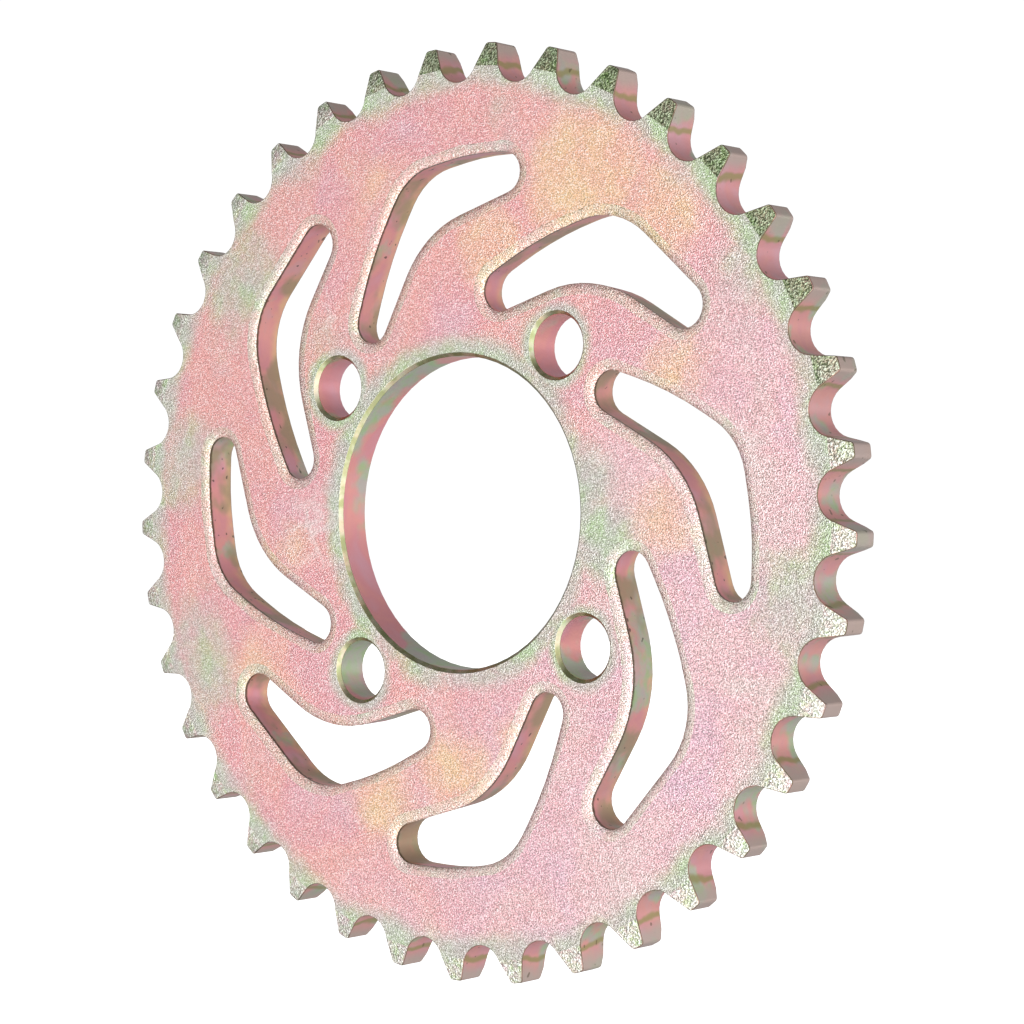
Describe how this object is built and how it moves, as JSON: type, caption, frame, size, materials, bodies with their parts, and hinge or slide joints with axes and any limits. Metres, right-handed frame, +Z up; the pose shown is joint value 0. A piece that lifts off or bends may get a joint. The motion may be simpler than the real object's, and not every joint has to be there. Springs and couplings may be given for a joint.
{
  "type": "rear sprocket",
  "caption": "Flat toothed chain wheel with a round centre bore, a ring of bolt holes and curved swirl-shaped lightening slots, plated steel",
  "frame": {"origin": "centre of the bore, half way through the plate's thickness", "axes": "+Y along the plate's axis towards the wheel hub, the outer face looks along -Y, +Z up"},
  "size_m": [0.1542, 0.0062, 0.1541],
  "materials": {
    "plated_steel": "zinc plating with a yellow iridescent passivate over blasted steel: dusty pink, yellow and green tints"
  },
  "bodies": {
    "root": {"sprocket_plate": "plated_steel"}
  },
  "joints": []
}
